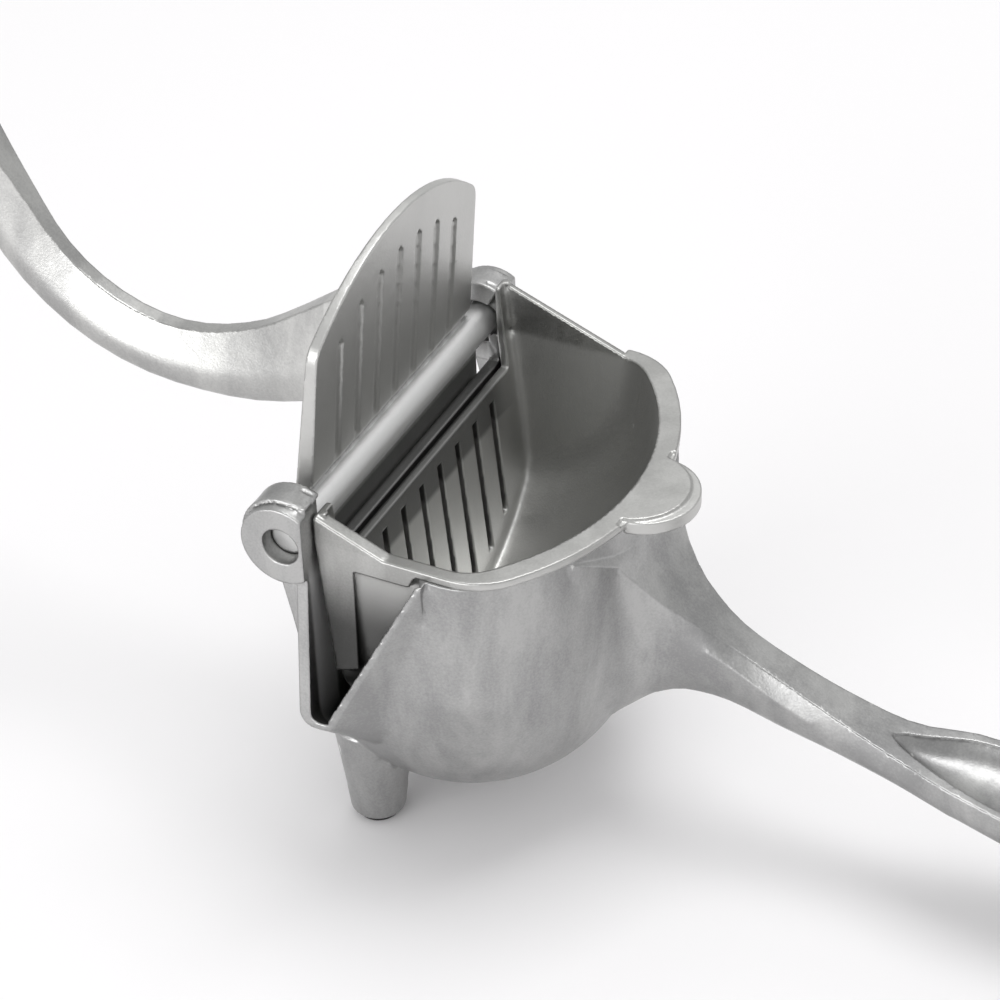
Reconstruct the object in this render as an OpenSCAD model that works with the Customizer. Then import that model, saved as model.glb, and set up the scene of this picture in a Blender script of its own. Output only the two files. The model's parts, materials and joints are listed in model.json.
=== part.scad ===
// Hinged citrus press in cast aluminium: a pot with a pouring spout and a handle,
// a lift-out strainer, and a press plate that swings on its own cast shaft.
// Millimetres, +Z up. The handles run along X and the hinge axis runs along Y.
// Shapes are drawn with the hinge axis as their origin and set down at the end.

/* [Hinge] */

// Diameter of the cast shaft
shaft_diameter = 7.2; // [5:0.1:9]

// Radial play of the shaft in each lug
shaft_play_gap = 0.45; // [0.2:0.05:0.6]

// How far each lug stands out past the pot's side
lug_overhang_length = 4.2; // [3:0.1:5]

// Length of each lug along the axis
lug_length = 7; // [5:0.5:8]

// Outer diameter of each lug
lug_diameter = 17.4; // [15:0.2:20]

// Length of the round boss at the outer end of each lug
boss_length = 2.5; // [1.5:0.5:4]

// How far the boss stands out round the rest of the lug
boss_step_height = 0.6; // [0.2:0.1:1]

// How far each end of the shaft stops short of the lug's outer face
shaft_recess_depth = 3.4; // [1:0.1:4]

// Depth of the strut that carries each lug, below the axis
strut_drop = 31; // [20:1:40]

// Height of the strut's bend, as a share of its depth
strut_knee_share = 0.6; // [0.4:0.05:0.8]

// Where the strut leaves the lug, in degrees from straight down
strut_turn = 15; // [5:1:30]

/* [Pot] */

// Radius of the pot's front, about the hinge axis
pot_radius = 57.2; // [55:0.2:62]

// Half the outer width of the pot
pot_half_width = 42.8; // [42.5:0.1:46]

// Outer corner radius between the pot's side and its front
pot_corner_radius = 13.4; // [12:0.2:18]

// Thickness of the pot's side walls
pot_wall_thickness = 1.6; // [1.4:0.1:1.8]

// Height of the straight upper part of the pot's walls
pot_straight_height = 30; // [26:1:34]

// Radius of the round bowl under the straight walls
bowl_radius = 36.5; // [34:0.5:38]

// Reach of the bowl's centre from the hinge axis
bowl_reach = 19.3; // [17:0.1:21]

// Drop of the bowl's centre below the hinge axis
bowl_drop = 38.4; // [36:0.1:40]

// Half the flat width in the middle of the bowl
bowl_flat_half_width = 5.5; // [4:0.5:7]

// Reach of the hinge wall's inner face
hinge_wall_reach = 4.8; // [4.6:0.1:5.2]

// Thickness of the hinge wall
hinge_wall_thickness = 2.4; // [1.8:0.1:2.6]

// Drop of the hinge wall's top edge between the lugs
hinge_wall_drop = 8.8; // [8.5:0.1:12]

/* [Spout] */

// Reach of the spout's upper corner
spout_reach = 29.4; // [26:0.2:30]

// Drop of the spout's lowest point
spout_drop = 42.3; // [38:0.2:46]

// Reach of the spout's lower corner
spout_foot_reach = 9.4; // [8:0.2:14]

// How far the lip stands out from the wall at the top
lip_rise_top_height = 2.2; // [1:0.1:3]

// How far the lip stands out from the wall at the bottom
lip_rise_foot_height = 6.2; // [4:0.1:8]

// Thickness of the spout's wall at the pouring edge
lip_wall_thickness = 1.7; // [1.2:0.1:2.2]

// Thickness of the spout's wall where it leaves the bowl, measured across its slope
flare_wall_thickness = 3; // [2.4:0.1:3.2]

// Radius of the spout's lower corners
lip_corner_radius = 3.4; // [2:0.1:4]

// Reach of the flare where it leaves the wall at the top
flare_reach_top = 29.6; // [27:0.2:32]

// Reach of the flare where it leaves the bowl at the bottom
flare_reach_foot = 22; // [18:0.2:25]

// Radius of the flare's lower corners on the bowl
flare_corner_radius = 8; // [4:0.5:10]

// How far the flare's shape runs on past the wall and the edge, as a share of its length
flare_lap = 0.15; // [0.12:0.01:0.2]

// Drop of the flare's lowest edge on the bowl
flare_drop = 55; // [50:0.5:60]

/* [Feet] */

// Height of the hinge axis over the table
stand_height = 81.8; // [80:0.2:90]

// Reach of each foot's centre
foot_reach = 6.2; // [5:0.1:9]

// Distance of each foot's centre in from the pot's side
foot_inset_distance = 16.2; // [13:0.1:20]

// Diameter of each foot at its lower end
foot_diameter = 11.8; // [11:0.2:14]

// Taper of each foot's side, in degrees
foot_taper = 6.5; // [4:0.5:9]

// Rounding at each foot's lower edge
foot_edge_radius = 1.6; // [1:0.1:2]

// Diameter of each rubber pad
pad_diameter = 9; // [7:0.2:9]

// Height of each rubber pad
pad_height = 3.2; // [2.5:0.1:4]

// How far each pad stands out of its foot
pad_proud_height = 1.2; // [0.8:0.1:1.6]

// Radial play of each pad in its pocket
pad_play_gap = 0.05; // [0.02:0.01:0.08]

/* [Strainer] */

// Radial gap between the strainer and the pot
strainer_gap = 0.35; // [0.3:0.05:0.6]

// Thickness of the strainer's walls
strainer_wall_thickness = 1.4; // [1.2:0.1:1.6]

// Thickness of the strainer's hinge wall
strainer_hinge_wall_thickness = 1.8; // [1.5:0.1:2]

// Lean of the strainer's hinge wall, in degrees
hinge_wall_lean = 5; // [3:0.5:7]

// Drop of the rim's top face below the hinge axis
rim_drop = 0.5; // [0.2:0.1:1]

// Thickness of the rim
rim_height = 1.8; // [1.5:0.1:2.4]

// How far the rim's front reaches past the pot
rim_overhang_width = 1.2; // [0.5:0.1:1.5]

// Reach at which the rim begins on the spout side
rim_start_reach = 26; // [24:0.5:30]

// Reach at which the rim begins on the far side
far_rim_start_reach = 33; // [28:0.5:34]

// Height of the spout-side cheek above the hinge axis
low_cheek_height = 5.6; // [4:0.2:7]

// Reach at which the spout-side cheek runs out
low_cheek_reach = 20; // [16:0.5:24]

// Height of the far cheek above the hinge axis
high_cheek_height = 10.7; // [7:0.1:12]

// Reach at which the far cheek runs out
high_cheek_reach = 33.5; // [24:0.5:36]

// Width of the raised band along the strainer's hinge edge
band_width = 8; // [5:0.5:10]

// Height of the raised band along the strainer's top edge
band_height = 4.6; // [3:0.2:6]

// How far the raised band stands out
band_proud_height = 1.6; // [0.6:0.1:1.8]

// Radius of the finger tab
tab_radius = 11.3; // [9:0.1:13]

// Reach of the finger tab's centre
tab_reach = 55.9; // [54:0.1:58]

// Height of the tab's outer edge
tab_height = 3.4; // [2.6:0.1:4]

// Width of the step along the tab's outer edge
tab_step_width = 2.2; // [1.5:0.1:3]

// Depth of the step along the tab's outer edge
tab_step_depth = 0.6; // [0.3:0.1:1]

// Number of drain slots in the hinge wall
slot_count = 8; // [4:2:8]

// Width of each drain slot
slot_width = 2.2; // [1.5:0.1:3]

// Drop of the slots' upper ends
slot_top_drop = 12; // [11:0.5:16]

// Solid band between the slots and the curved floor
slot_margin_width = 5; // [3:0.5:8]

/* [Press plate] */

// Radius of the plate's tip, about the hinge axis
plate_radius = 50.3; // [46:0.1:51]

// Gap between each side of the plate and the strainer's side wall
plate_side_gap = 5.2; // [2:0.1:7]

// Narrowing of each side from the shaft to the tip
plate_narrowing = 0.8; // [0:0.1:4]

// Corner radius of the plate
plate_corner_radius = 5.5; // [4:0.5:12]

// Thickness of the plate at the shaft
plate_thickness = 3.9; // [3:0.1:4.2]

// Thickness of the plate at its tip
plate_tip_thickness = 1.8; // [1.2:0.1:2.4]

// Distance of the plate's front face from the shaft's centre
plate_front_offset = 0.05; // [0:0.05:0.8]

// Lean of the plate towards the pot when the press stands open, in degrees
plate_lean = 5.25; // [3:0.25:6]

// Depth of the relief in the plate's front face, just above the shaft
relief_depth = 1.7; // [0.5:0.1:2]

// Height of that relief's upper edge above the shaft's centre
relief_height = 6.2; // [5:0.1:8]

// Distance between the plate's grooves
groove_pitch = 8; // [7:0.1:8.2]

// Number of grooves in the plate
groove_count = 7; // [3:2:7]

// Width of each groove
groove_width = 2.6; // [1.5:0.1:3.4]

// Depth of each groove
groove_depth = 0.9; // [0.5:0.1:1.2]

// Radius on which the grooves end, about the hinge axis
groove_radius = 43.4; // [36:0.1:45]

// Length of the pointed end of each groove
groove_point_length = 2.5; // [1:0.1:4]

// Height above the shaft's centre at which the grooves begin
groove_start_height = 2.3; // [2:0.1:3.5]

// How far each end of the heel stops short of the plate's side
heel_setback_width = 1.2; // [0:0.1:4]

// Drop of the heel's lower edge, which stops the open press against the pot
heel_drop = 10.6; // [9:0.1:12]

// Gap between the heel and the hinge wall
heel_gap = 0.3; // [0.1:0.1:0.5]

/* [Pot handle] */

// Reach of the pot handle's end
handle_reach = 236; // [220:1:250]

// How far the handle's root lies inside the pot's front
handle_root_inset = 7.64; // [6:0.02:9]

// Half the width of both grips
grip_half_width = 12; // [10:0.5:14]

// Positions of the handle's sections, as shares of its reach
handle_shares = [
    0.21, 0.2197, 0.2234, 0.2271, 0.231, 0.239, 0.253, 0.269, 0.286,
    0.321, 0.372, 0.425, 0.478, 0.533, 0.64, 0.8, 0.93, 1];

// Drop of its top face, as shares of the stand height
handle_top_shares = [
    0.04, 0.049, 0.056, 0.067, 0.081, 0.114, 0.198, 0.264, 0.308,
    0.379, 0.452, 0.516, 0.565, 0.582, 0.637, 0.731, 0.813, 0.869];

// Half the width of its top face, as shares of the grip's half width
handle_half_shares = [
    2.25, 2.075, 1.96, 1.825, 1.667, 1.26, 0.925, 0.7, 0.51,
    0.33, 0.315, 0.38, 0.5, 0.8, 0.98, 1, 0.88, 0.42];

// Drop of its parting ridge, as shares of the stand height
handle_ridge_shares = [
    0.32, 0.319, 0.318, 0.317, 0.301, 0.313, 0.342, 0.359, 0.374,
    0.418, 0.501, 0.566, 0.605, 0.617, 0.674, 0.769, 0.849, 0.9];

// Half the width over its parting ridge, as shares of the grip's half width
handle_bulge_shares = [
    2.15, 1.88, 1.735, 1.6, 1.48, 1.14, 0.82, 0.675, 0.6,
    0.51, 0.47, 0.47, 0.57, 0.84, 1.02, 1.04, 0.93, 0.5];

// Drop of its underside, as shares of the stand height
handle_under_shares = [
    0.69, 0.671, 0.663, 0.656, 0.648, 0.632, 0.601, 0.575, 0.561,
    0.562, 0.6, 0.633, 0.666, 0.698, 0.769, 0.87, 0.961, 1];

// Half the width of its underside, as shares of the grip's half width
handle_base_shares = [
    0.44, 0.42, 0.41, 0.4, 0.39, 0.36, 0.31, 0.27, 0.25,
    0.23, 0.22, 0.22, 0.24, 0.3, 0.4, 0.42, 0.36, 0.15];

/* [Press handle] */

// Reach of the arm's lowest point behind the hinge axis
dip_reach = 48; // [44:0.5:52]

// Height of the arm's middle line at its lowest point
dip_height = 3.4; // [2:0.2:6]

// Radius of the arm's bend before its lowest point
first_bend_radius = 62; // [55:1:70]

// Turn of the arm before its lowest point, in degrees
first_turn = 26; // [22:1:28]

// Radius of the arm's bend after its lowest point
second_bend_radius = 43.5; // [40:0.5:50]

// Turn of the arm after its lowest point, in degrees
second_turn = 60; // [55:1:64]

// Length of the straight part with the grip
grip_straight_length = 160; // [140:1:165]

// Greatest depth of the arm, where it leaves the plate
arm_depth = 33; // [28:0.5:34]

// Positions of the arm's sections, as shares of its length
arm_shares = [0, 0.03, 0.08, 0.14, 0.2, 0.3, 0.37, 0.46, 0.52, 0.58, 0.68, 0.82, 0.94, 1];

// Depth of its sections, as shares of the greatest depth
arm_depth_shares = [1, 0.79, 0.58, 0.475, 0.395, 0.385, 0.39, 0.37, 0.37, 0.36, 0.37, 0.38, 0.33, 0.16];

// Half the width of its inner edge, as shares of the grip's half width
arm_half_shares = [0.4, 0.26, 0.17, 0.145, 0.14, 0.14, 0.16, 0.3, 0.55, 0.8, 0.98, 1, 0.85, 0.4];

// Half the width over its bulge, as shares of the grip's half width
arm_bulge_shares = [0.55, 0.5, 0.45, 0.42, 0.41, 0.42, 0.45, 0.52, 0.68, 0.86, 1.02, 1.04, 0.92, 0.48];

// Half the width of its outer edge, as shares of the grip's half width
arm_base_shares = [0.3, 0.27, 0.25, 0.24, 0.24, 0.24, 0.24, 0.27, 0.3, 0.36, 0.42, 0.42, 0.34, 0.14];

/* [Grip hollows] */

// Depth of the hollow in each grip
hollow_depth = 5; // [3:0.5:6]

// Width of the edge left around each hollow
hollow_edge_width = 1.7; // [1.2:0.1:2.5]

// How far each hollow closes up at its two ends, as a share
hollow_fade_share = 0.995; // [0.98:0.005:0.995]

// Where each hollow begins, as a share of the handle's length
hollow_start_share = 0.465; // [0.44:0.005:0.5]

// Where each hollow ends, as a share of the handle's length
hollow_end_share = 0.955; // [0.9:0.005:0.97]

/* [Drawing] */

// Sides of a full circle on round parts
round_sides = 72; // [48:12:96]

// Steps in a rounded corner
corner_steps = 6; // [4:1:10]

// Steps across the front of the pot and the strainer
front_steps = 18; // [12:2:30]

// Sections along each handle
handle_steps = 44; // [30:1:60]

// How closely the pot handle's sections crowd at its root, as a share, 0 for even spacing
root_crowding_share = 0.5; // [0:0.1:1]

// Steps round the underside of a handle
flank_steps = 5; // [3:1:8]

// How far cutting shapes run past the faces they cut
overrun = 2; // [1:0.5:3]

/* [Hidden] */
$fn = round_sides;

shaft_radius = shaft_diameter / 2;
lug_radius = lug_diameter / 2;
lug_face = pot_half_width + lug_overhang_length;
lug_span = 2 * lug_face;
lug_inner_face = lug_face - lug_length;
hinge_wall_back = hinge_wall_reach - hinge_wall_thickness;

pot_rim_drop = rim_drop + rim_height;
pot_straight_drop = pot_rim_drop + pot_straight_height;
cavity_radius = pot_radius - pot_wall_thickness;
handle_root = pot_radius - handle_root_inset;
cavity_half_width = pot_half_width - pot_wall_thickness;
cavity_corner = pot_corner_radius - pot_wall_thickness;

basket_radius = cavity_radius - strainer_gap;
basket_half_width = cavity_half_width - strainer_gap;
basket_corner = cavity_corner - strainer_gap;
basket_inner_radius = basket_radius - strainer_wall_thickness;
basket_inner_half_width = basket_half_width - strainer_wall_thickness;
basket_inner_corner = basket_corner - strainer_wall_thickness;
basket_back = hinge_wall_reach + strainer_gap;
basket_flat = sqrt((basket_radius - basket_corner) ^ 2 - (basket_half_width - basket_corner) ^ 2);
rim_radius = pot_radius + rim_overhang_width;
rim_corner = pot_corner_radius + rim_overhang_width;
rim_half_width = basket_half_width + band_proud_height;
plate_half_width = basket_inner_half_width - plate_side_gap;
plate_opening = plate_half_width + plate_side_gap / 2;
heel_half_width = plate_half_width - heel_setback_width;
wall_opening = lug_inner_face - pot_wall_thickness;

foot_height = stand_height - pad_proud_height;
lip_face = pot_half_width + lip_rise_foot_height;
strut_knee = strut_knee_share * strut_drop;
foot_radius = foot_diameter / 2;
foot_half_spread = pot_half_width - foot_inset_distance;
pad_radius = pad_diameter / 2;

box_size = 2 * stand_height;

function unit_back(angle) = [-cos(angle), sin(angle)];
function unit_up(angle) = [sin(angle), cos(angle)];
function arc_length(radius, angle) = PI * radius * angle / 180;

// Points of an arc, with both its ends.
function arc(centre, radius, start, end, steps) =
    [for (i = [0 : steps]) let (a = start + (end - start) * i / steps) centre + radius * [cos(a), sin(a)]];

// An outline with straight sides, rounded corners and a front that is round about the hinge axis.
function d_outline(front, half, corner) =
    let (side = half - corner, ahead = sqrt((front - corner) ^ 2 - side ^ 2), a = atan2(side, ahead))
    concat(
        [[0, -half]],
        arc([ahead, -side], corner, -90, -a, corner_steps),
        [for (i = [1 : front_steps - 1]) let (b = a * (2 * i / front_steps - 1)) front * [cos(b), sin(b)]],
        arc([ahead, side], corner, a, 90, corner_steps),
        [[0, half]]);

// A value read smoothly from a list of values given at rising positions.
function span_at(places, x, i = 0) =
    i >= len(places) - 2 || x < places[i + 1] ? i : span_at(places, x, i + 1);
function slope_at(places, values, i) =
    let (last = len(places) - 1, a = max(i - 1, 0), b = min(i + 1, last))
    (values[b] - values[a]) / (places[b] - places[a]);
function read(places, values, x) =
    let (i = span_at(places, x), w = places[i + 1] - places[i], u = (x - places[i]) / w)
    let (m = w * slope_at(places, values, i), n = w * slope_at(places, values, i + 1))
    values[i] * (2 * u ^ 3 - 3 * u ^ 2 + 1) + m * (u ^ 3 - 2 * u ^ 2 + u)
        + values[i + 1] * (3 * u ^ 2 - 2 * u ^ 3) + n * (u ^ 3 - u ^ 2);

// One section of a handle as [across, up]: flat face, flank to the ridge, rounded underside.
function handle_section(half, bulge, ridge, base, depth) =
    let (right = [for (i = [0 : flank_steps]) let (t = 90 * i / flank_steps)
        [base + (bulge - base) * cos(t), -ridge - (depth - ridge) * sin(t)]])
    concat([[-half, 0], [half, 0]], right,
        [for (i = [flank_steps : -1 : 0]) [-right[i][0], right[i][1]]]);

// Pot handle: sections across X, from its root inside the pot's wall to its end.
function handle_x(share) =
    handle_root + (handle_reach - handle_root) * (share - handle_shares[0]) / (1 - handle_shares[0]);
function handle_at(share) =
    let (top = stand_height * read(handle_shares, handle_top_shares, share))
    let (under = stand_height * read(handle_shares, handle_under_shares, share))
    let (ridge = stand_height * read(handle_shares, handle_ridge_shares, share))
    let (half = grip_half_width * read(handle_shares, handle_half_shares, share))
    let (bulge = grip_half_width * read(handle_shares, handle_bulge_shares, share))
    let (base = grip_half_width * read(handle_shares, handle_base_shares, share))
    [for (p = handle_section(half, bulge, ridge - top, base, under - top))
        [handle_x(share), p[0], p[1] - top]];

// Press handle: the line it follows behind the plate, as [x, z].
first_length = arc_length(first_bend_radius, first_turn);
second_length = arc_length(second_bend_radius, second_turn);
bend_start = (dip_reach - first_bend_radius * sin(first_turn)) / cos(first_turn);
dip_start = bend_start + first_length;
grip_start = dip_start + second_length;
arm_length = grip_start + grip_straight_length;
dip = [-dip_reach, dip_height];
first_centre = dip + [0, first_bend_radius];
second_centre = dip + [0, second_bend_radius];
bend_point = first_centre - first_bend_radius * unit_up(-first_turn);
grip_point = second_centre - second_bend_radius * unit_up(second_turn);

function arm_angle(s) =
    s < bend_start ? -first_turn
    : s < dip_start ? first_turn * ((s - bend_start) / first_length - 1)
    : s < grip_start ? second_turn * (s - dip_start) / second_length
    : second_turn;
function arm_point(s) =
    s < bend_start ? bend_point - (bend_start - s) * unit_back(-first_turn)
    : s < dip_start ? first_centre - first_bend_radius * unit_up(arm_angle(s))
    : s < grip_start ? second_centre - second_bend_radius * unit_up(arm_angle(s))
    : grip_point + (s - grip_start) * unit_back(second_turn);
function arm_tilt(s) =
    s < bend_start ? plate_lean - (plate_lean + first_turn) * s / bend_start : arm_angle(s);
function arm_place(s, across, up) =
    let (p = arm_point(s) + up * unit_up(arm_tilt(s))) [p[0], across, p[1]];
function arm_half_depth(share) = arm_depth * read(arm_shares, arm_depth_shares, share) / 2;

ridge_share = 0.62;
function arm_at(share) =
    let (depth = 2 * arm_half_depth(share), s = arm_length * share)
    let (half = grip_half_width * read(arm_shares, arm_half_shares, share))
    let (bulge = grip_half_width * read(arm_shares, arm_bulge_shares, share))
    let (base = grip_half_width * read(arm_shares, arm_base_shares, share))
    [for (p = handle_section(half, bulge, ridge_share * depth, base, depth))
        arm_place(s, p[0], p[1] + depth / 2)];

// Hollow of a grip: a scoop that narrows and rises to nothing at both ends.
function hollow_swell(u) = sqrt(1 - hollow_fade_share * (2 * u - 1) ^ 6);
function hollow_section(half, swell) =
    let (wide = (half - hollow_edge_width) * swell)
    concat([[-wide, overrun], [wide, overrun]],
        [for (i = [0 : 2 * flank_steps]) let (t = 90 * i / flank_steps)
            [wide * cos(t), -hollow_depth * swell * sin(t)]]);
function hollow_share(u) = hollow_start_share + (hollow_end_share - hollow_start_share) * u;
function handle_hollow_at(u) =
    let (share = hollow_share(u), top = stand_height * read(handle_shares, handle_top_shares, share))
    let (half = grip_half_width * read(handle_shares, handle_half_shares, share))
    [for (p = hollow_section(half, hollow_swell(u))) [handle_x(share), p[0], p[1] - top]];
function arm_hollow_at(u) =
    let (share = hollow_share(u), half = grip_half_width * read(arm_shares, arm_half_shares, share))
    [for (p = hollow_section(half, hollow_swell(u)))
        arm_place(arm_length * share, p[0], p[1] + arm_half_depth(share))];

arm_sections = [for (i = [0 : handle_steps]) arm_at(i / handle_steps)];
handle_sections = [for (i = [handle_steps : -1 : 0])
    handle_at(handle_shares[0] + (1 - handle_shares[0]) * (i / handle_steps) ^ (1 + root_crowding_share))];
handle_hollow = [for (i = [0 : handle_steps]) handle_hollow_at(1 - i / handle_steps)];
arm_hollow = [for (i = [0 : handle_steps]) arm_hollow_at(i / handle_steps)];

back_end = min([for (section = arm_sections) for (p = section) p[0]]);
middle_x = (back_end + handle_reach) / 2;
middle_y = (lug_face - lip_face) / 2;

// Closed solid through a row of sections with equal numbers of points. The points of the first
// section run clockwise as seen from outside the solid.
module loft(sections) {
    count = len(sections[0]);
    rows = len(sections);
    sides = [for (r = [0 : rows - 2]) for (c = [0 : count - 1]) let (d = (c + 1) % count)
        each [
            [r * count + c, (r + 1) * count + d, r * count + d],
            [r * count + c, (r + 1) * count + c, (r + 1) * count + d]]];
    end = (rows - 1) * count;
    caps = [for (c = [1 : count - 2]) each [[0, c, c + 1], [end, end + c + 1, end + c]]];
    polyhedron([for (section = sections) each section], concat(caps, sides));
}

module hollow(sections) {
    loft(sections);
}

// Everything on the far side of a plane across X, leaning with depth.
module behind(reach, lean) {
    translate([reach, 0, 0])
        rotate([0, -lean, 0])
            translate([-box_size, -box_size / 2, -box_size])
                cube([box_size, box_size, 2 * box_size]);
}

// Upright plate across Y on the spout side, between two distances from the middle; points are [x, z].
module slice(inner, outer, points) {
    translate([0, -inner, 0])
        rotate([90, 0, 0])
            linear_extrude(outer - inner) polygon(points);
}

// Outside or inside of the pot: straight walls over a round bowl.
module bucket(front, half, corner, round, top_drop) {
    hull() {
        translate([0, 0, -pot_straight_drop])
            linear_extrude(pot_straight_drop - top_drop) polygon(d_outline(front, half, corner));
        for (side = [-1, 1])
            translate([bowl_reach, side * bowl_flat_half_width, -bowl_drop]) sphere(round);
    }
}

// Spout outline as [x, z]: down the hinge edge, round the foot and up the slope, inset by a wall.
function spout_outline(left, inset, top, top_reach, low_reach, low_drop, corner) =
    let (slope = atan2(low_drop - pot_rim_drop, top_reach - low_reach), radius = corner - inset)
    let (floor_z = inset - low_drop, vertex = low_reach - inset * tan(slope / 2))
    let (back = radius / tan(90 - slope / 2))
    concat(
        [[left, top]],
        arc([left + radius, floor_z + radius], radius, 180, 270, corner_steps),
        arc([vertex - back, floor_z + radius], radius, 270, 270 + slope, corner_steps),
        [[top_reach + (top + pot_rim_drop) / tan(slope) - inset / sin(slope), top]]);

// An outline laid on a plane that leans: its distances at the hinge height and at the spout's foot.
function lay(points, top_face, foot_face) =
    [for (p = points) [p[0], (foot_face - top_face) * p[1] / spout_drop - top_face, p[1]]];
function between(from, to, share) = [for (i = [0 : len(from) - 1]) from[i] + (to[i] - from[i]) * share];

// Flared spout, from the bowl's wall (share 0) to the pouring edge (share 1).
module flare(left, root_inset, edge_inset, top, first, last) {
    root = lay(
        spout_outline(left, root_inset, top, flare_reach_top, flare_reach_foot, flare_drop,
            flare_corner_radius),
        pot_half_width - pot_wall_thickness, pot_half_width - lip_rise_foot_height);
    edge = lay(
        spout_outline(left, edge_inset, top, spout_reach, spout_foot_reach, spout_drop, lip_corner_radius),
        pot_half_width + lip_rise_top_height, lip_face);
    loft([between(root, edge, first), between(root, edge, last)]);
}

module foot_shape() {
    rise = foot_height - bowl_drop - bowl_radius / 2;
    top_radius = foot_radius + rise * tan(foot_taper);
    rotate_extrude()
        polygon(concat(
            [[0, 0]],
            arc([foot_radius - foot_edge_radius, foot_edge_radius], foot_edge_radius, -90, 0, corner_steps),
            [[top_radius, rise], [0, rise + top_radius]]));
}

module at_foot(side) {
    translate([foot_reach, side * foot_half_spread, -stand_height]) children();
}

// A lug from its outer face inwards: a round boss, then a block with a square shoulder.
module lug() {
    difference() {
        union() {
            cylinder(h = boss_length, r = lug_radius);
            cylinder(h = lug_length, r = lug_radius - boss_step_height);
            translate([0, -lug_radius, boss_length])
                cube([hinge_wall_reach, lug_radius, lug_length - boss_length]);
        }
        translate([hinge_wall_reach, -box_size / 2, -overrun]) cube(box_size);
    }
}

module strut() {
    slice(lug_inner_face, lug_face - boss_length, [
        lug_radius * [-sin(strut_turn), -cos(strut_turn)],
        [0, -strut_knee], [hinge_wall_back, -strut_drop],
        [hinge_wall_reach, -strut_drop], [hinge_wall_reach, 0]]);
}

module shaft(radius, length) {
    rotate([90, 0, 0]) cylinder(h = length, r = radius, center = true);
}

module place() {
    translate([-middle_x, -middle_y, stand_height]) children();
}

module pot() color("Silver") place() difference() {
    union() {
        difference() {
            union() {
                bucket(pot_radius, pot_half_width, pot_corner_radius, bowl_radius, pot_rim_drop);
                flare(hinge_wall_back, 0, 0, -pot_rim_drop, -flare_lap, 1);
            }
            behind(hinge_wall_back, 0);
            translate([0, -wall_opening, -hinge_wall_drop])
                cube([hinge_wall_reach + overrun, 2 * wall_opening, box_size]);
        }
        difference() {
            loft(handle_sections);
            hollow(handle_hollow);
        }
        for (side = [-1, 1]) {
            at_foot(side) translate([0, 0, pad_proud_height]) foot_shape();
            mirror([0, (1 + side) / 2, 0]) {
                translate([0, -lug_face, 0]) rotate([-90, 0, 0]) lug();
                strut();
            }
        }
    }
    difference() {
        bucket(cavity_radius, cavity_half_width, cavity_corner,
            bowl_radius - pot_wall_thickness, pot_rim_drop - overrun);
        behind(hinge_wall_reach, 0);
    }
    flare(hinge_wall_reach, flare_wall_thickness, lip_wall_thickness, overrun, -flare_lap, 1 + flare_lap);
    shaft(shaft_radius + shaft_play_gap, lug_span + overrun);
    for (side = [-1, 1])
        at_foot(side) cylinder(h = pad_height, r = pad_radius + pad_play_gap);
}

// A quarter turn of an outline about the hinge axis, from the rim down to the hinge wall.
module quarter(front, half, corner) {
    rotate([-90, 0, 0])
        rotate_extrude(angle = 90) polygon(d_outline(front, half, corner));
}

module drain_slots() {
    wall_front = basket_back + 2 * overrun;
    for (i = [0 : slot_count - 1]) {
        y = groove_pitch * (i - (slot_count - 1) / 2);
        bottom = sqrt((basket_inner_radius - slot_margin_width) ^ 2 - y ^ 2);
        translate([0, y - slot_width / 2, -bottom])
            cube([wall_front + bottom * tan(hinge_wall_lean), slot_width, bottom - slot_top_drop]);
    }
}

// Raised band on the spout side: down the hinge edge and along the top.
module band() {
    edge = basket_back + band_width;
    end = spout_reach - lip_wall_thickness;
    low = -rim_drop - band_height;
    intersection() {
        slice(basket_half_width - strainer_wall_thickness / 2, basket_half_width + band_proud_height, [
            [basket_back, low_cheek_height], [basket_back, -basket_flat], [edge, -basket_flat],
            [edge, low], [end - band_height / 2, low], [end, -rim_drop], [low_cheek_reach, -rim_drop]]);
        shaft(basket_flat, lug_span);
    }
}

// Corner beside the plate, where the hinge wall rises to a cheek.
module corner_post(height) {
    slice(plate_opening, basket_half_width, [
        [basket_back, -pot_rim_drop], [basket_back + strainer_hinge_wall_thickness, -pot_rim_drop],
        [basket_back + strainer_hinge_wall_thickness, height], [basket_back, height]]);
}

module tab_disc(radius, reach) {
    translate([reach, 0]) circle(radius);
}

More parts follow.
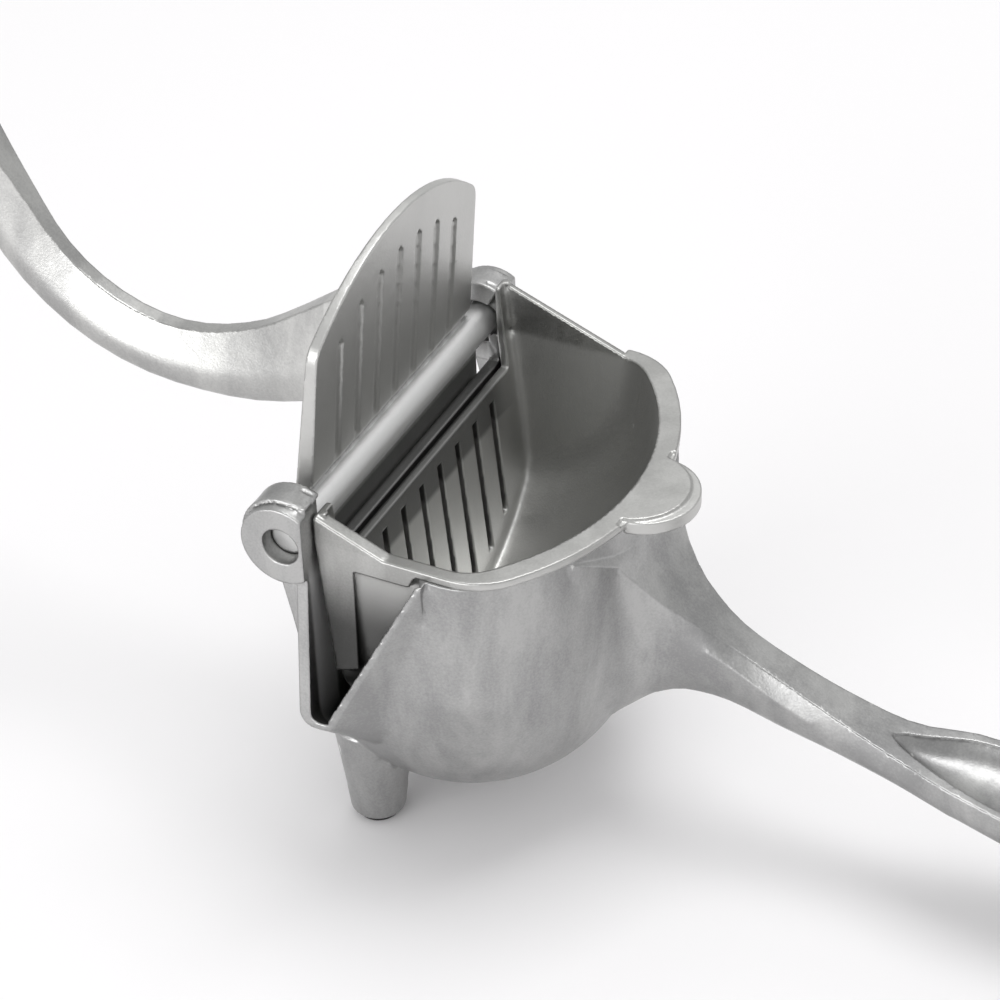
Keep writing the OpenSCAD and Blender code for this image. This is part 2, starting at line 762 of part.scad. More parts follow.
module strainer() color("Gainsboro") place() difference() {
    union() {
        difference() {
            quarter(basket_radius, basket_half_width, basket_corner);
            translate([-overrun, -box_size / 2, -rim_drop]) cube(box_size);
        }
        translate([0, 0, -pot_rim_drop]) linear_extrude(rim_height) {
            difference() {
                polygon(d_outline(rim_radius, rim_half_width, rim_corner));
                translate([rim_start_reach - box_size, -box_size / 2]) square(box_size);
                translate([far_rim_start_reach - box_size, 0]) square(box_size);
            }
            tab_disc(tab_radius, tab_reach);
        }
        translate([0, 0, -rim_drop - tab_height]) linear_extrude(tab_height) difference() {
            tab_disc(tab_radius, tab_reach);
            circle(pot_radius + strainer_gap);
        }
        slice(basket_inner_half_width, basket_half_width, [
            [basket_back, -pot_rim_drop], [low_cheek_reach, -pot_rim_drop],
            [low_cheek_reach, -rim_drop], [basket_back, low_cheek_height]]);
        mirror([0, 1, 0]) slice(basket_inner_half_width, basket_half_width, [
            [basket_back, -pot_rim_drop], [high_cheek_reach, -pot_rim_drop],
            [high_cheek_reach, -rim_drop], [basket_back, high_cheek_height]]);
        corner_post(low_cheek_height);
        mirror([0, 1, 0]) corner_post(high_cheek_height);
        band();
    }
    difference() {
        union() {
            quarter(basket_inner_radius, basket_inner_half_width, basket_inner_corner);
            translate([0, 0, -rim_drop])
                linear_extrude(box_size)
                    polygon(d_outline(basket_inner_radius, basket_inner_half_width, basket_inner_corner));
        }
        behind(basket_back + strainer_hinge_wall_thickness, hinge_wall_lean);
    }
    behind(basket_back, hinge_wall_lean);
    behind(basket_back, 0);
    translate([0, -plate_opening, -hinge_wall_drop])
        cube([basket_back + strainer_hinge_wall_thickness + overrun, 2 * plate_opening, box_size]);
    drain_slots();
    translate([0, 0, -rim_drop - tab_step_depth]) linear_extrude(box_size) difference() {
        tab_disc(tab_radius + overrun, tab_reach);
        tab_disc(tab_radius, tab_reach - tab_step_width);
        translate([tab_reach - box_size, -box_size / 2]) square(box_size);
    }
}

module grooves() {
    radius = (groove_width ^ 2 / 4 + groove_depth ^ 2) / (2 * groove_depth);
    for (i = [0 : groove_count - 1]) {
        y = groove_pitch * (i - (groove_count - 1) / 2);
        height = sqrt(groove_radius ^ 2 - y ^ 2) - groove_start_height - groove_point_length;
        translate([plate_front_offset + radius - groove_depth, y, groove_start_height]) {
            cylinder(h = height, r = radius);
            translate([0, 0, height]) cylinder(h = groove_point_length, r1 = radius, r2 = 0);
        }
    }
}

module plate() {
    rotate([0, plate_lean, 0]) difference() {
        translate([plate_front_offset, 0, 0]) rotate([0, -90, 0])
            linear_extrude(plate_thickness)
                polygon([for (p = d_outline(plate_radius, plate_half_width, plate_corner_radius))
                    [p[0], p[1] * (1 - plate_narrowing / plate_half_width * p[0] / plate_radius)]]);
        grooves();
        slice(-lug_face, lug_face, [
            [plate_front_offset + overrun, -overrun],
            [plate_front_offset - relief_depth, -overrun],
            [plate_front_offset - relief_depth, relief_height / 2],
            [plate_front_offset, relief_height],
            [plate_front_offset + overrun, relief_height]]);
        translate([plate_front_offset - plate_thickness, 0, 0])
            rotate([0, atan2(plate_thickness - plate_tip_thickness, plate_radius), 0])
                translate([-box_size, -box_size / 2, 0]) cube(box_size);
    }
}

module press() color("LightGray") place() {
    plate_back = plate_front_offset - plate_thickness;
    shaft(shaft_radius, lug_span - 2 * shaft_recess_depth);
    plate();
    translate([plate_back, -heel_half_width, -heel_drop])
        cube([hinge_wall_back - heel_gap - plate_back, 2 * heel_half_width, heel_drop]);
    difference() {
        loft(arm_sections);
        hollow(arm_hollow);
    }
}

module pad() {
    cylinder(h = pad_height, r = pad_radius);
}
module foot_pad_spout() color("DimGray") place() at_foot(-1) pad();
module foot_pad_rear() color("DimGray") place() at_foot(1) pad();

pot();
strainer();
press();
foot_pad_spout();
foot_pad_rear();
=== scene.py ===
# %% [markdown]
# # A hinged citrus press in cast aluminium
# The real thing is three castings and two rubber pads. A pot with a spout and a handle stands on
# two pegs, a strainer drops into it, and a press plate swings on its own cast shaft.
# The solids come from the part's own drawing, so they already have the right size and place.
# What they lack is what the foundry and the tumbling barrel give: soft edges, rounded inner
# corners and a fine, slightly blotchy grain. This lesson adds those.

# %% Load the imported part
import json
import math

import bmesh
import bpy
from mathutils import Matrix, Vector, bvhtree, kdtree

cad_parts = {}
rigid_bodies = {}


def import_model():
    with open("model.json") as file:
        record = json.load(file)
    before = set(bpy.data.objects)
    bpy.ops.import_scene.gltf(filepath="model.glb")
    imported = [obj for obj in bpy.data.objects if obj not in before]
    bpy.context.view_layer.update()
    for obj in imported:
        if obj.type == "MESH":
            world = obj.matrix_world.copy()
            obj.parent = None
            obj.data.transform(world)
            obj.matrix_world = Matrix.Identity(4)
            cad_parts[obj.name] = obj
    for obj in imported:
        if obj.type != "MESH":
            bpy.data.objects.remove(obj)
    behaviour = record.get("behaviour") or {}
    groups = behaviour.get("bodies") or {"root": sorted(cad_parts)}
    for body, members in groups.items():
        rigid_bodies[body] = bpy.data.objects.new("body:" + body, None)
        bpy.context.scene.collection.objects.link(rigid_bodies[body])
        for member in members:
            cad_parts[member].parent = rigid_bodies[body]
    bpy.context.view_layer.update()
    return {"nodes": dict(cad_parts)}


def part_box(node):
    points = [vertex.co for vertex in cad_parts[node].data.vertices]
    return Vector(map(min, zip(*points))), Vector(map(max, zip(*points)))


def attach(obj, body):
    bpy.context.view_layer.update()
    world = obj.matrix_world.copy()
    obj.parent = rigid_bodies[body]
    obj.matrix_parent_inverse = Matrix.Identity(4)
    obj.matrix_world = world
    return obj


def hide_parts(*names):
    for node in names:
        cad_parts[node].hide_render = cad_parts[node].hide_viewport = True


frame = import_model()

MM = 0.001

# %% [markdown]
# ## From facets to a casting
# A CAD node arrives as loose flat triangles. A casting has no flat facets and no knife edges.
# It could be rebuilt patch by patch, but the drawing already has the right form, so it is quicker
# to keep that form and change only its skin: join the triangles, cover them with an even fine
# net, and then let the net relax. Corners that point outwards are held, so that rims and lips
# stay crisp, and so are thin round forms such as the shaft, which would shrink. Inner corners may
# relax freely, which gives them the fillets of a real casting.

# %% Join a node's triangles into one skin
MERGE_DISTANCE = 0.002 * MM


def joined_skin(node):
    skin = bmesh.new()
    skin.from_mesh(frame["nodes"][node].data)
    bmesh.ops.remove_doubles(skin, verts=skin.verts, dist=MERGE_DISTANCE)
    return skin


# %% [markdown]
# ## What the net must hold on to
# An edge is held where the skin turns sharply outwards, and where it bends so tightly that
# smoothing would wear the form away. A knife edge, thinner than the net can follow, is held but
# never sharpened. The held edges become rows of points, because a search tree finds the nearest
# of many points quickly.

# %% Find the edges that the skin holds
CRISP_ANGLE = math.radians(28)
KNIFE_ANGLE = math.radians(120)
LEAST_TURN = math.radians(3)
THIN_RADIUS = 6 * MM


def bend_radius(edge):
    """How tightly the skin bends over an edge: the width of its two faces over their turn."""
    width = sum(2 * face.calc_area() / edge.calc_length() for face in edge.link_faces) / 2
    return width / edge.calc_face_angle()


def inside(point, low, high):
    return all(a <= c <= b for a, c, b in zip(low, point, high))


def is_sharp(edge, crease_box):
    """Whether an edge is sharp and points outwards, or is a sharp crease inside the given box."""
    middle = (edge.verts[0].co + edge.verts[1].co) / 2
    return edge.calc_face_angle() > CRISP_ANGLE and (
        edge.is_convex or crease_box is not None and inside(middle, *crease_box))


# %% Turn the held edges into rows of points
POINT_STEP = 0.15 * MM


def points_along(edges):
    points = []
    for edge in edges:
        start, end = (corner.co for corner in edge.verts)
        count = math.ceil((end - start).length / POINT_STEP)
        points += [start.lerp(end, i / max(count, 1)) for i in range(count + 1)]
    return points


def held_edges(skin, crease_box):
    """Points on the sharp edges, and points on the edges of knives and thin round forms."""
    turning = [e for e in skin.edges if e.is_manifold and e.calc_face_angle() > LEAST_TURN]
    sharp = [e for e in turning if is_sharp(e, crease_box)]
    knives = [e for e in sharp if e.calc_face_angle() > KNIFE_ANGLE]
    crisp = [e for e in sharp if e.calc_face_angle() <= KNIFE_ANGLE]
    thin = [e for e in turning if e.is_convex and bend_radius(e) < THIN_RADIUS]
    return points_along(crisp), points_along(thin + knives)


def search_tree(points):
    tree = kdtree.KDTree(len(points))
    for i, point in enumerate(points):
        tree.insert(point, i)
    tree.balance()
    return tree


# %% Cover the skin with an even net
def even_net(skin, name, mesh_width):
    rough = bpy.data.objects.new(name + "_rough", bpy.data.meshes.new(name + "_rough"))
    skin.to_mesh(rough.data)
    bpy.context.scene.collection.objects.link(rough)
    remesh = rough.modifiers.new("even_net", "REMESH")
    remesh.mode = "VOXEL"
    remesh.voxel_size = mesh_width
    remesh.use_smooth_shade = True
    graph = bpy.context.evaluated_depsgraph_get()
    net = bpy.data.meshes.new_from_object(rough.evaluated_get(graph), depsgraph=graph)
    bpy.data.objects.remove(rough)
    net.name = name
    return net


# %% [markdown]
# ## Letting the net relax
# Free points are smoothed many times, which melts the facets and rounds the inner corners. Held
# points are smoothed a little and then seated again, on the nearest sharp edge if one is very
# near and otherwise on the drawing's faces. The net is blind to the direction of an edge and
# crosses it in steps, so each stretch of a sharp edge also pulls its nearest net point onto
# itself. Without that, a slanting lip looks sawn.

# %% Smooth points, and pull points to sharp lines
def smooth(cast, points, factor, passes):
    for i in range(passes):
        bmesh.ops.smooth_vert(
            cast, verts=points, factor=factor, use_axis_x=True, use_axis_y=True, use_axis_z=True)


def pull_to_lines(held, line_points, reach):
    """Move the net point nearest to each point of a sharp line onto it: no edge stays jagged."""
    tree = search_tree([point.co for point in held])
    nearest = {}
    for place in line_points:
        index, distance = tree.find(place)[1:]
        if distance < nearest.get(index, (reach, None))[0]:
            nearest[index] = (distance, place)
    for index, (distance, place) in nearest.items():
        held[index].co = place


# %% Relax the net into a casting's skin
CRISP_REACH = 0.8 * MM
SNAP_SHARE, PULL_SHARE = 0.6, 2.0
SEAT_ROUNDS, SEAT_PASSES = 2, 2
SMOOTHING, LAST_SMOOTHING = 0.5, 0.3


def relax(net, skin, crease_box, mesh_width, passes):
    """Loosen the points that are free, and seat the held ones on the drawing's faces and edges."""
    sharp_points, thin_points = held_edges(skin, crease_box)
    sharp, held_lines = search_tree(sharp_points), search_tree(sharp_points + thin_points)
    faces = bvhtree.BVHTree.FromBMesh(skin)
    cast = bmesh.new()
    cast.from_mesh(net)
    held, free = [], []
    for point in cast.verts:
        (free if held_lines.find(point.co)[2] > CRISP_REACH else held).append(point)
    smooth(cast, free, SMOOTHING, passes)
    for i in range(SEAT_ROUNDS):
        smooth(cast, held, SMOOTHING, SEAT_PASSES)
        for point in held:
            line_point, index, distance = sharp.find(point.co)
            on_line = distance < SNAP_SHARE * mesh_width
            point.co = line_point if on_line else faces.find_nearest(point.co)[0]
        pull_to_lines(held, sharp_points, PULL_SHARE * mesh_width)
    smooth(cast, cast.verts, LAST_SMOOTHING, 1)
    cast.to_mesh(net)
    cast.free()
    return len(free)


# %% Put a finished casting in the place of its node
NET_WIDTH = 0.42 * MM
TRIANGLE_LIMIT = 190000


def thinned(piece, triangles):
    """The piece's mesh with its flattest triangles merged, down to the limit."""
    thin = piece.modifiers.new("thin", "DECIMATE")
    thin.ratio = TRIANGLE_LIMIT / triangles
    graph = bpy.context.evaluated_depsgraph_get()
    mesh = bpy.data.meshes.new_from_object(piece.evaluated_get(graph), depsgraph=graph)
    piece.modifiers.clear()
    return mesh


def casting(node, body, passes, extras=(), crease_box=None):
    mesh_width = NET_WIDTH
    skin = joined_skin(node)
    for extra in extras:
        skin.from_mesh(extra)
    net = even_net(skin, node + "_casting", mesh_width)
    relaxed = relax(net, skin, crease_box, mesh_width, passes)
    skin.free()
    piece = bpy.data.objects.new(node + "_casting", net)
    bpy.context.scene.collection.objects.link(piece)
    triangles = sum(len(face.vertices) - 2 for face in net.polygons)
    if triangles > TRIANGLE_LIMIT:
        piece.data = thinned(piece, triangles)
    piece.data.shade_smooth()
    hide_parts(node)
    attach(piece, body)
    print(node, "casting:", len(piece.data.polygons), "faces from", triangles,
          "triangles,", relaxed, "points relaxed")
    return piece


# %% [markdown]
# ## The pot's lugs
# Behind each ring-shaped boss the real lug is a little thicker and longer than the drawing's. It
# could be a piece of its own, but it is one with the casting. So a small oblong is spun round the
# hinge into an open ring, which is laid over the lug before the net goes on and melts into it.

# %% Thicken the lugs behind their bosses
HINGE = Vector((-34.02, 1.0, 81.8)) * MM
LUG_FACE = 47 * MM
LUG_BODY = (2.2 * MM, 8.5 * MM)
LUG_RING = (5.0 * MM, 9.6 * MM)
LUG_RING_START, LUG_RING_SWEEP = math.radians(-61), math.radians(-238)
LUG_STEPS = 60


def lug_body(side):
    """Open ring round the hinge; its gap is where the lug meets the hinge wall."""
    width, length = LUG_RING[1] - LUG_RING[0], LUG_BODY[1] - LUG_BODY[0]
    middle = Vector((sum(LUG_RING) / 2, side * (LUG_FACE - sum(LUG_BODY) / 2), 0))
    ring = bmesh.new()
    bmesh.ops.create_grid(
        ring, x_segments=1, y_segments=1, size=0.5,
        matrix=Matrix.Translation(HINGE + middle) @ Matrix.Diagonal((width, length, 1, 1)))
    bmesh.ops.delete(ring, geom=list(ring.faces), context="FACES_ONLY")
    bmesh.ops.rotate(
        ring, verts=ring.verts, cent=HINGE, matrix=Matrix.Rotation(LUG_RING_START, 3, "Y"))
    bmesh.ops.spin(
        ring, geom=list(ring.edges), cent=HINGE, axis=(0, 1, 0), dvec=(0, 0, 0),
        angle=LUG_RING_SWEEP, steps=LUG_STEPS, use_duplicate=False)
    bmesh.ops.holes_fill(ring, edges=ring.edges, sides=4)
    bmesh.ops.recalc_face_normals(ring, faces=ring.faces)
    mesh = bpy.data.meshes.new("lug_body")
    ring.to_mesh(mesh)
    print("lug body:", len(ring.faces), "faces,", round(ring.calc_volume() / MM ** 3), "mm3")
    ring.free()
    return mesh


lug_bodies = [lug_body(-1), lug_body(1)]

# %% [markdown]
# ## The lip of the spout
# In the drawing the slanting lip ends in a knife edge, and a net of 0.42 mm can't follow that.
# The real lip is dull from tumbling. A bevel would need a clean edge loop, which loose triangles
# don't have, so a thin round bar is laid along the edge and melts into it as the lugs do.

# %% Dull the slanting lip of the spout
LIP_FOOT = Vector((-24.8, -47.5, 41.9)) * MM
LIP_TOP = Vector((-5.3, -43.95, 79.3)) * MM
LIP_RADIUS = 0.5 * MM
BAR_SIDES = 24


def round_bar(start, end, radius):
    """A bar with domed ends: a ball whose upper half is drawn out along the axis."""
    along = end - start
    ball = bmesh.new()
    bmesh.ops.create_uvsphere(
        ball, u_segments=BAR_SIDES, v_segments=BAR_SIDES // 2, radius=radius)
    upper = [point for point in ball.verts if point.co.z > radius / 10]
    bmesh.ops.translate(ball, verts=upper, vec=(0, 0, along.length))
    bmesh.ops.rotate(
        ball, verts=ball.verts, cent=(0, 0, 0), matrix=along.to_track_quat("Z", "Y").to_matrix())
    bmesh.ops.translate(ball, verts=ball.verts, vec=start)
    mesh = bpy.data.meshes.new("lip_bar")
    ball.to_mesh(mesh)
    print("lip bar:", round(along.length / MM, 1), "mm long,", len(ball.faces), "faces")
    ball.free()
    return mesh


lip_bar = round_bar(LIP_FOOT, LIP_TOP, LIP_RADIUS)

# %% [markdown]
# ## The pot
# One casting: the round bowl, the flared spout, two lugs, two pegs and the lower handle. Its
# walls are 1.6 mm thick, so the net has to be finer than half of that or the wall would tear.
# Relaxing melts the facets away and fillets the inner corners, but the crease where the handle
# grows out of the bowl is a clean line on the real one, so the net is held there as well.

# %% Make the pot
HANDLE_ROOT = (Vector((8, -40, 0)) * MM, Vector((70, 42, 81)) * MM)
pot = casting(
    "pot", "pot_body", passes=60, extras=[*lug_bodies, lip_bar],
    crease_box=HANDLE_ROOT)

# %% [markdown]
# ## The strainer
# A thin lift-out casting with drain slots. The slots are only 2.2 mm wide, so it relaxes less
# than the pot does.

# %% Make the strainer
strainer = casting("strainer", "pot_body", passes=45)

# %% [markdown]
# ## The press
# The plate with its grooves, the shaft and the long bent arm are one casting. The grooves are
# less than a millimetre deep, so it relaxes less as well.

# %% Make the press
press = casting("press", "press_body", passes=45)

# %% [markdown]
# ## The rubber pads
# Two moulded rubber studs pushed into the pegs. A moulded stud has a rounded lower rim, which a
# bevel on the edge of its bottom face gives.

# %% Make the pads
PAD_ROUNDING = 0.7 * MM
PAD_STEPS = 4


def rubber_pad(node):
    stud = joined_skin(node)
    low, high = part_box(node)
    middle = (low.z + high.z) / 2
    lower_rim = [
        edge for edge in stud.edges
        if edge.calc_face_angle(0) > CRISP_ANGLE and all(v.co.z < middle for v in edge.verts)]
    bmesh.ops.bevel(
        stud, geom=lower_rim, offset=PAD_ROUNDING, offset_type="OFFSET", segments=PAD_STEPS,
        profile=0.5, affect="EDGES", material=-1)
    for face in stud.faces:
        face.smooth = True
    name = node + "_rubber"
    piece = bpy.data.objects.new(name, bpy.data.meshes.new(name))
    stud.to_mesh(piece.data)
    stud.free()
    bpy.context.scene.collection.objects.link(piece)
    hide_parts(node)
    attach(piece, "pot_body")
    print(node, len(piece.data.polygons), "faces")
    return piece


pads = [rubber_pad("foot_pad_spout"), rubber_pad("foot_pad_rear")]

# %% [markdown]
# ## Colours and nodes
# Colours are written as a picture shows them, in hex. A shader works in linear light, so one
# function turns them. Another small function adds a node, sets it and plugs it in.

# %% Two helpers for materials
def linear(hex_colour):
    shares = [int(hex_colour[i:i + 2], 16) / 255 for i in (1, 3, 5)]
    return [s / 12.92 if s <= 0.04045 else ((s + 0.055) / 1.055) ** 2.4 for s in shares] + [1]


def node(tree, kind, settings, plugs):
    """A node with its attributes, its socket values and its links; a link is an output socket."""
    made = tree.nodes.new(kind)
    for name, value in settings.items():
        setattr(made, name, value)
    for name, value in plugs.items():
        if isinstance(value, bpy.types.NodeSocket):
            tree.links.new(value, made.inputs[name])
        else:
            made.inputs[name].default_value = value
    return made


# %% [markdown]
# ## Tumbled cast aluminium: the grain
# The castings come out of a die, are trimmed, and are tumbled with small stones until they are
# bright but not polished. What the eye sees is a soft sheen, a fine speckle from the stones, the
# die's faint waves, and slow blotches where the melt cooled unevenly, drawn out along the height.
# The true stone marks are a few tenths of a millimetre, close to the limit of what a picture of
# the whole press can show, so they are drawn at 0.5 mm.

# %% Lay out the grain
SPECKLE = 0.5 * MM
WAVE = 2.6 * MM
BLOTCH = 14 * MM
BLOTCH_STRETCH = (1.0, 1.0, 0.4)


def grain_patterns(tree, place):
    """Three noises on the piece: the stones' speckle, the die's waves and the blotches."""
    stretched = node(tree, "ShaderNodeVectorMath", {"operation": "MULTIPLY"}, {
        0: place, 1: BLOTCH_STRETCH})
    speckle = node(tree, "ShaderNodeTexNoise", {}, {
        "Vector": place, "Scale": 1 / SPECKLE, "Detail": 2.0, "Roughness": 0.6})
    waves = node(tree, "ShaderNodeTexNoise", {}, {
        "Vector": place, "Scale": 1 / WAVE, "Detail": 3.0, "Roughness": 0.55})
    blotch = node(tree, "ShaderNodeTexNoise", {}, {
        "Vector": stretched.outputs[0], "Scale": 1 / BLOTCH, "Detail": 4.0,
        "Roughness": 0.6, "Distortion": 0.4})
    return [noise.outputs["Fac"] for noise in (speckle, waves, blotch)]


# %% Colour the grain
# A noise hardly leaves its span. The blotches get a narrower one, which makes them plainer.
NOISE_LOW, NOISE_HIGH = 0.3, 0.7
BLOTCH_LOW, BLOTCH_HIGH = 0.36, 0.64
FLECK_SHARE = 0.5


def grain_tint(tree, speckle, blotch, bright, dull):
    """Between the dull and the bright colour: by the blotches, flecked by the speckle."""
    tone = node(tree, "ShaderNodeMapRange", {}, {
        "Value": blotch, "From Min": BLOTCH_LOW, "From Max": BLOTCH_HIGH, "To Min": 0.0,
        "To Max": 1.0})
    fleck = node(tree, "ShaderNodeMapRange", {}, {
        "Value": speckle, "From Min": NOISE_LOW, "From Max": NOISE_HIGH, "To Min": -0.5,
        "To Max": 0.5})
    mixed = node(tree, "ShaderNodeMath", {"operation": "MULTIPLY_ADD", "use_clamp": True}, {
        0: fleck.outputs["Result"], 1: FLECK_SHARE, 2: tone.outputs["Result"]})
    return node(tree, "ShaderNodeMix", {"data_type": "RGBA"}, {
        0: mixed.outputs[0], 6: linear(dull), 7: linear(bright)}).outputs[2]


# %% [markdown]
# ## Burnish, painted shade and painted light
# How the skin bends gives two marks: painted shade in the creases, and a lighter colour on every
# outer corner, which is partly the stones' burnish and partly a painted highlight. Some places
# have a
# colour of their own: the recess under the shaft, the heel and the wall behind the spout are
# darkened with painted shade, the spout's inside is whitened with painted light, and the shaft,
# the plate and the strainer's walls are whiter and rougher. Painting them by hand would need an
# unwrapped skin, so each is a soft box in the part's own frame.

# %% Mark a place with a colour of its own: a finish, painted shade or painted light
PATCH_STRENGTH = 0.82


def soft_box(tree, place, centre, half_size, soft_share):
    """Full inside a box and none outside, fading over the given share of its half size."""
    away = node(tree, "ShaderNodeVectorMath", {"operation": "SUBTRACT"}, {
        0: place, 1: centre})
    share = node(tree, "ShaderNodeVectorMath", {"operation": "DIVIDE"}, {
        0: away.outputs[0], 1: half_size})
    size = node(tree, "ShaderNodeVectorMath", {"operation": "ABSOLUTE"}, {0: share.outputs[0]})
    axes = node(tree, "ShaderNodeSeparateXYZ", {}, {0: size.outputs[0]})
    widest = node(tree, "ShaderNodeMath", {"operation": "MAXIMUM"}, {
        0: axes.outputs[0], 1: axes.outputs[1]})
    most = node(tree, "ShaderNodeMath", {"operation": "MAXIMUM"}, {
        0: widest.outputs[0], 1: axes.outputs[2]})
    return node(tree, "ShaderNodeMapRange", {"interpolation_type": "SMOOTHSTEP"}, {
        "Value": most.outputs[0], "From Min": 1.0 - soft_share, "From Max": 1.0,
        "To Min": PATCH_STRENGTH, "To Max": 0.0}).outputs["Result"]


# %% Darken the creases with painted shade and lighten the corners with burnish and a painted highlight
# Each: the bend where it starts, the bend where it is full, its strength and its colour.
# A flat skin has a bend of 0.5, a crease less and a corner more.
# Painted shade: the creases are darker, as shade falls there.
PAINTED_CREASE_SHADE = (0.475, 0.42, 0.7, "#6E6E6D")
# Partly the stones' burnish, partly a painted highlight along the edges.
BURNISH_AND_PAINTED_HIGHLIGHT = (0.535, 0.64, 0.8, "#E6E6E4")


# Lays painted shade in the creases, and burnish with a painted highlight on the corners.
def shaded_and_worn_tint(tree, tint):
    bend = node(tree, "ShaderNodeNewGeometry", {}, {}).outputs["Pointiness"]
    for start, full, strength, colour in (PAINTED_CREASE_SHADE, BURNISH_AND_PAINTED_HIGHLIGHT):
        mask = node(tree, "ShaderNodeMapRange", {"interpolation_type": "SMOOTHSTEP"}, {
            "Value": bend, "From Min": start, "From Max": full, "To Min": 0.0,
            "To Max": strength})
        tint = node(tree, "ShaderNodeMix", {"data_type": "RGBA"}, {
            0: mask.outputs["Result"], 6: tint, 7: linear(colour)}).outputs[2]
    return tint


# %% [markdown]
# ## Tumbled cast aluminium: the metal
# Aluminium is a metal, so the shader is fully metallic and keeps its usual IOR. The waves vary
# its roughness a little and, with the speckle, its bump, by a few hundredths of a millimetre.

# %% Make the metal
ROUGHNESS_PLAY = 0.05
WAVE_HEIGHT, SPECKLE_HEIGHT = 0.05 * MM, 0.03 * MM


def tumbled_aluminium(name, bright, dull, roughness, patches):
    metal = bpy.data.materials.new(name)
    metal.use_nodes = True
    tree = metal.node_tree
    shader = tree.nodes["Principled BSDF"]
    place = node(tree, "ShaderNodeTexCoord", {}, {}).outputs["Object"]
    speckle, waves, blotch = grain_patterns(tree, place)
    tint = grain_tint(tree, speckle, blotch, bright, dull)
    gloss = node(tree, "ShaderNodeMapRange", {}, {
        "Value": waves, "From Min": NOISE_LOW, "From Max": NOISE_HIGH,
        "To Min": roughness + ROUGHNESS_PLAY,
        "To Max": roughness - ROUGHNESS_PLAY}).outputs["Result"]
    for centre, half_size, soft_share, patch_colour, patch_roughness in patches:
        patch = soft_box(tree, place, centre * MM, half_size * MM, soft_share)
        tint = node(tree, "ShaderNodeMix", {"data_type": "RGBA"}, {
            0: patch, 6: tint, 7: linear(patch_colour)}).outputs[2]
        gloss = node(tree, "ShaderNodeMix", {"data_type": "FLOAT"}, {
            0: patch, 2: gloss, 3: patch_roughness}).outputs[0]
    wavy = node(tree, "ShaderNodeBump", {}, {
        "Height": waves, "Strength": 1.0, "Distance": WAVE_HEIGHT})
    gritty = node(tree, "ShaderNodeBump", {}, {
        "Height": speckle, "Strength": 1.0, "Distance": SPECKLE_HEIGHT,
        "Normal": wavy.outputs["Normal"]})
    tree.links.new(shaded_and_worn_tint(tree, tint), shader.inputs["Base Color"])
    tree.links.new(gloss, shader.inputs["Roughness"])
    tree.links.new(gritty.outputs["Normal"], shader.inputs["Normal"])
    shader.inputs["Metallic"].default_value = 1.0
    return metal


# %% Give each casting its metal
# Each place: centre and half size in mm, soft share, colour, roughness.
# Painted shade in the recess under the shaft, on the pot and on the strainer.
PAINTED_SHADE_UNDER_SHAFT_ON_POT = (Vector((-30.4, 1, 70.5)), Vector((2.4, 39, 5)), 0.2, "#6C6C6B", 0.5)
PAINTED_SHADE_UNDER_SHAFT_ON_STRAINER = (Vector((-27.5, 1, 70)), Vector((2.6, 38, 6)), 0.3, "#6C6C6B", 0.5)
STRAINER_WALLS = (Vector((5, 1, 44)), Vector((44, 43, 38)), 0.05, "#CACAC8", 0.46)
# Painted shade on the strainer's wall behind the spout.
PAINTED_SHADE_BEHIND_SPOUT = (Vector((-14, -41, 40)), Vector((24, 3.4, 42)), 0.5, "#161616", 0.42)
# Painted light on the wall inside the spout, where the lamps don't reach.
PAINTED_LIGHT_INSIDE_SPOUT = (Vector((-29.4, -40, 57)), Vector((3.2, 4.6, 22)), 0.3, "#F0F0F0", 0.6)
PLATE = (Vector((-38, 1, 117)), Vector((9, 48, 36)), 0.04, "#C6C6C4", 0.46)
# Painted shade on the press's heel under the shaft.
PAINTED_SHADE_ON_HEEL = (Vector((-33, 1, 73.4)), Vector((5, 36, 4.6)), 0.2, "#6C6C6B", 0.5)
SHAFT = (Vector((-34.02, 1, 82.2)), Vector((5.2, 48, 4.2)), 0.15, "#E4E4E4", 0.56)

pot_metal = tumbled_aluminium(
    "pot_tumbled_aluminium", bright="#B5B5B4", dull="#999999", roughness=0.38,
    patches=[PAINTED_SHADE_UNDER_SHAFT_ON_POT, PAINTED_LIGHT_INSIDE_SPOUT])
strainer_metal = tumbled_aluminium(
    "strainer_tumbled_aluminium", bright="#B6B6B4", dull="#9C9C9A", roughness=0.36,
    patches=[STRAINER_WALLS, PAINTED_SHADE_UNDER_SHAFT_ON_STRAINER, PAINTED_SHADE_BEHIND_SPOUT])
press_metal = tumbled_aluminium(
    "press_tumbled_aluminium", bright="#BFBFBD", dull="#A5A5A4", roughness=0.36,
    patches=[PLATE, SHAFT, PAINTED_SHADE_ON_HEEL])
for piece, metal in ((pot, pot_metal), (strainer, strainer_metal), (press, press_metal)):
    piece.data.materials.clear()
    piece.data.materials.append(metal)
    print(piece.name, "is", metal.name)

# %% [markdown]
# ## Moulded rubber
# The pads are black rubber from a matt mould: dark, with a broad weak sheen.

# %% Moulded black rubber
rubber = bpy.data.materials.new("moulded_black_rubber")
rubber.use_nodes = True
rubber_shader = rubber.node_tree.nodes["Principled BSDF"]
rubber_shader.inputs["Base Color"].default_value = linear("#171717")
rubber_shader.inputs["Roughness"].default_value = 0.62
rubber_shader.inputs["IOR"].default_value = 1.52
for pad in pads:
    pad.data.materials.clear()
    pad.data.materials.append(rubber)
print("pads are", rubber.name)

# %% [markdown]
# ## The table
# The press stands on a plain white painted board that runs on to where the eye sees no edge.
# Matt paint scatters light evenly, so one pale colour and a high roughness are enough.

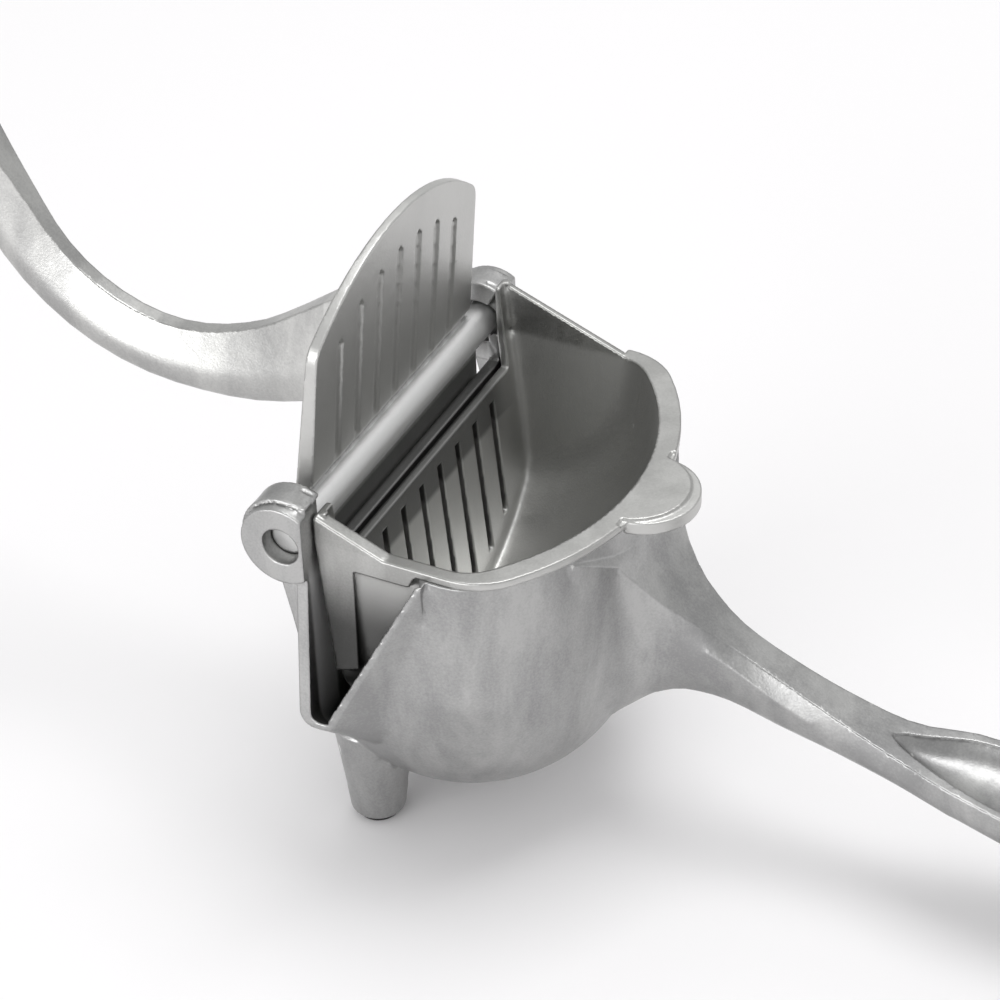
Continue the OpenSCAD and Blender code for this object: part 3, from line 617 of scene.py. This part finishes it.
# %% Lay the table
TABLE_HALF_WIDTH = 4.0
table_skin = bmesh.new()
bmesh.ops.create_grid(table_skin, x_segments=1, y_segments=1, size=TABLE_HALF_WIDTH)
table = bpy.data.objects.new("white_table", bpy.data.meshes.new("white_table"))
table_skin.to_mesh(table.data)
table_skin.free()
bpy.context.scene.collection.objects.link(table)
white = bpy.data.materials.new("white_table_board")
white.use_nodes = True
white_shader = white.node_tree.nodes["Principled BSDF"]
white_shader.inputs["Base Color"].default_value = linear("#F2F1F2")
white_shader.inputs["Roughness"].default_value = 0.7
table.data.materials.append(white)
print("table:", 2 * TABLE_HALF_WIDTH, "m wide")

# %% [markdown]
# ## The light
# Bright metal shows its surroundings more than itself, so the lamps matter as much as the
# material. A wide low lamp from the front left draws the bright flanks, a weak one high at the
# back touches the rims, one from above whitens the table, and a light grey room fills the rest.

# %% Hang the lamps
# Each lamp: name, place and aim in metres, width and height in metres, power in watts.
LAMPS = (
    ("front_left_lamp", (-0.35, -1.25, 0.36), (0, 0, 0.06), 1.1, 0.5, 8),
    ("back_lamp", (-0.3, 1.14, 1.15), (0, 0, 0.05), 0.8, 0.6, 0.8),
    ("top_lamp", (0.15, 0.25, 1.5), (0, 0, 0), 0.8, 0.8, 9))
for name, place, aim, width, height, power in LAMPS:
    lamp = bpy.data.lights.new(name, "AREA")
    lamp.shape = "RECTANGLE"
    lamp.size, lamp.size_y = width, height
    lamp.energy = power
    holder = bpy.data.objects.new(name, lamp)
    holder.location = place
    holder.rotation_mode = "QUATERNION"
    holder.rotation_quaternion = (Vector(aim) - Vector(place)).to_track_quat("-Z", "Y")
    bpy.context.scene.collection.objects.link(holder)
    print(name, power, "W")

# %% Light the room
ROOM_STRENGTH = 0.88
room = bpy.data.worlds.new("grey_room")
room.use_nodes = True
backdrop = room.node_tree.nodes["Background"]
backdrop.inputs["Color"].default_value = linear("#E6E6E6")
backdrop.inputs["Strength"].default_value = ROOM_STRENGTH
bpy.context.scene.world = room
bpy.context.scene.view_settings.view_transform = "Standard"
bpy.context.scene.view_settings.look = "None"
print("room:", room.name, ROOM_STRENGTH)

# %% [markdown]
# ## The camera
# It looks down at the press from the front right. Its place and tilt come from matching the
# drawing's corners with the picture, and a long lens keeps the handles from spreading.

# %% Set the camera
CAMERA_PLACE = Vector((0.243285, -0.483565, 0.477752))
AZIMUTH, ELEVATION, ROLL = (math.radians(a) for a in (27.622, 36.824, -2.161))
SENSOR_WIDTH, FOCAL_LENGTH = 36, 121.35

back = Vector((
    math.sin(AZIMUTH) * math.cos(ELEVATION), -math.cos(AZIMUTH) * math.cos(ELEVATION),
    math.sin(ELEVATION)))
level = Vector((math.cos(AZIMUTH), math.sin(AZIMUTH), 0))
rise = back.cross(level)
across = level * math.cos(ROLL) + rise * math.sin(ROLL)
upward = rise * math.cos(ROLL) - level * math.sin(ROLL)
lens = bpy.data.cameras.new("camera")
lens.sensor_width = SENSOR_WIDTH
lens.lens = FOCAL_LENGTH
lens.clip_start, lens.clip_end = 0.01, 20
camera = bpy.data.objects.new("camera", lens)
turn = Matrix((across, upward, back)).transposed()
camera.matrix_world = Matrix.Translation(CAMERA_PLACE) @ turn.to_4x4()
bpy.context.scene.collection.objects.link(camera)
bpy.context.scene.camera = camera
print("camera at", [round(c, 3) for c in CAMERA_PLACE], "m")
